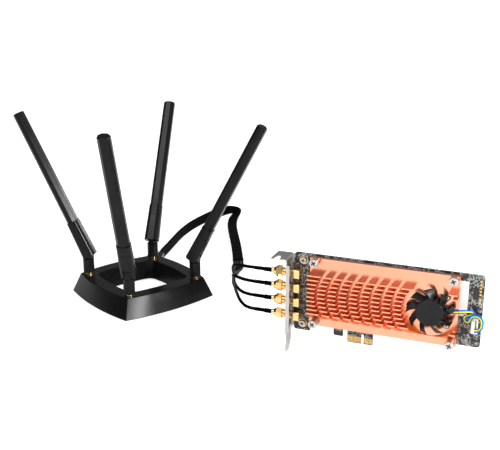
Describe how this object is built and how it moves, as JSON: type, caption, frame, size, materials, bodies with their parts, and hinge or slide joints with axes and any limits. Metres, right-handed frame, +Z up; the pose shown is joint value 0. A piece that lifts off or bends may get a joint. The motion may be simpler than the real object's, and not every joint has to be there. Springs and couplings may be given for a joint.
{
  "type": "wireless network card",
  "caption": "Half-height plug-in wireless network card with finned cooler and fan, coaxial leads in a flat sleeve, and a square stand with hinged, swivelling antennas.",
  "frame": {"origin": "middle of the key slot, on the lower edge of the contact edge, at half the board's thickness", "axes": "+X along the card from the bracket to its far end, -Y out of the component side, +Z up"},
  "size_m": [0.427, 0.3816, 0.1714],
  "materials": {
    "board_black": "black solder mask",
    "gold": "gold plated",
    "bracket_steel": "bright plated sheet",
    "screw_steel": "nickel plated",
    "pin_black": "blackened",
    "copper_anodised": "bright copper-coloured anodising",
    "fan_black": "glossy",
    "copper_winding": "enamelled wire",
    "magnet": "dull",
    "chip_black": "matt",
    "thermal_pad": "soft",
    "label_white": "blank",
    "connector_white": "natural nylon",
    "wire_black": "smooth",
    "wire_yellow": "smooth",
    "wire_green": "smooth",
    "wire_blue": "smooth",
    "jacket_black": "satin",
    "rubber_black": "matt",
    "stand_black": "satin",
    "antenna_black": "satin"
  },
  "bodies": {
    "card_and_stand": {"antenna_collars": "antenna_black", "board_components": "chip_black", "bracket": "bracket_steel", "bracket_screws": "screw_steel", "cable_grommet": "rubber_black", "cable_sleeve": "jacket_black", "card_jacks": "gold", "circuit_board": "board_black", "coax_plugs": "gold", "fan_base": "fan_black", "fan_header": "connector_white", "fan_plug": "connector_white", "fan_screws": "screw_steel", "fan_stator": "copper_winding", "fan_wire_black": "wire_black", "fan_wire_blue": "wire_blue", "fan_wire_green": "wire_green", "fan_wire_yellow": "wire_yellow", "gold_contacts": "gold", "heatsink": "copper_anodised", "heatsink_nuts": "screw_steel", "heatsink_screws": "screw_steel", "heatsink_springs": "screw_steel", "jack_nuts": "gold", "label": "label_white", "lead_1": "jacket_black", "lead_2": "jacket_black", "lead_3": "jacket_black", "lead_4": "jacket_black", "lead_boots": "jacket_black", "stand_bottom_plate": "stand_black", "stand_feet": "rubber_black", "stand_jack_nuts": "gold", "stand_jacks": "gold", "stand_shell": "stand_black", "thermal_pads": "thermal_pad", "wifi_chips": "chip_black"},
    "rotor": {"fan_rotor": "fan_black", "fan_magnet": "magnet"},
    "antenna_right_base": {"antenna_right_stem": "antenna_black"},
    "antenna_right_arm": {"antenna_right_hinge_pin": "pin_black", "antenna_right_sleeve": "antenna_black", "antenna_right_whip": "antenna_black"},
    "antenna_back_base": {"antenna_back_stem": "antenna_black"},
    "antenna_back_arm": {"antenna_back_hinge_pin": "pin_black", "antenna_back_sleeve": "antenna_black", "antenna_back_whip": "antenna_black"},
    "antenna_left_base": {"antenna_left_stem": "antenna_black"},
    "antenna_left_arm": {"antenna_left_hinge_pin": "pin_black", "antenna_left_sleeve": "antenna_black", "antenna_left_whip": "antenna_black"},
    "antenna_front_base": {"antenna_front_stem": "antenna_black"},
    "antenna_front_arm": {"antenna_front_hinge_pin": "pin_black", "antenna_front_sleeve": "antenna_black", "antenna_front_whip": "antenna_black"},
    "coupling_nut_1": {"coupling_nut_1": "gold"},
    "coupling_nut_2": {"coupling_nut_2": "gold"},
    "coupling_nut_3": {"coupling_nut_3": "gold"},
    "coupling_nut_4": {"coupling_nut_4": "gold"}
  },
  "joints": [
    {"name": "fan_spin", "type": "hinge", "parent": "card_and_stand", "child": "rotor", "pos_m": [0.0526, -0.012, 0.0398], "axis": [0, -1, 0], "continuous": true},
    {"name": "antenna_right_swivel", "type": "hinge", "parent": "card_and_stand", "child": "antenna_right_base", "pos_m": [-0.17774, 0.07198, 0.0271], "axis": [0, 0, -1], "continuous": true},
    {"name": "antenna_right_tilt", "type": "hinge", "parent": "antenna_right_base", "child": "antenna_right_arm", "pos_m": [-0.17774, 0.07198, 0.0271], "axis": [0, -1, 0], "range_deg": [-61.8, 28.2]},
    {"name": "antenna_back_swivel", "type": "hinge", "parent": "card_and_stand", "child": "antenna_back_base", "pos_m": [-0.23958, 0.10626, 0.0271], "axis": [0, 0, -1], "continuous": true},
    {"name": "antenna_back_tilt", "type": "hinge", "parent": "antenna_back_base", "child": "antenna_back_arm", "pos_m": [-0.23958, 0.10626, 0.0271], "axis": [0.9816, 0.1908, 0], "range_deg": [-58, 32]},
    {"name": "antenna_left_swivel", "type": "hinge", "parent": "card_and_stand", "child": "antenna_left_base", "pos_m": [-0.27386, 0.04442, 0.0271], "axis": [0, 0, -1], "continuous": true},
    {"name": "antenna_left_tilt", "type": "hinge", "parent": "antenna_left_base", "child": "antenna_left_arm", "pos_m": [-0.27386, 0.04442, 0.0271], "axis": [-0.1736, 0.9848, 0], "range_deg": [-65, 25]},
    {"name": "antenna_front_swivel", "type": "hinge", "parent": "card_and_stand", "child": "antenna_front_base", "pos_m": [-0.21202, 0.01014, 0.0271], "axis": [0, 0, -1], "continuous": true},
    {"name": "antenna_front_tilt", "type": "hinge", "parent": "antenna_front_base", "child": "antenna_front_arm", "pos_m": [-0.21202, 0.01014, 0.0271], "axis": [-0.9703, -0.2419, 0], "range_deg": [-68.3, 21.7]},
    {"name": "coupling_nut_1_turn", "type": "hinge", "parent": "card_and_stand", "child": "coupling_nut_1", "pos_m": [-0.067, -0.00479, 0.05291], "axis": [-1, 0, 0], "continuous": true},
    {"name": "coupling_nut_2_turn", "type": "hinge", "parent": "card_and_stand", "child": "coupling_nut_2", "pos_m": [-0.067, -0.00479, 0.04114], "axis": [-1, 0, 0], "continuous": true},
    {"name": "coupling_nut_3_turn", "type": "hinge", "parent": "card_and_stand", "child": "coupling_nut_3", "pos_m": [-0.067, -0.00479, 0.02937], "axis": [-1, 0, 0], "continuous": true},
    {"name": "coupling_nut_4_turn", "type": "hinge", "parent": "card_and_stand", "child": "coupling_nut_4", "pos_m": [-0.067, -0.00479, 0.0176], "axis": [-1, 0, 0], "continuous": true}
  ]
}
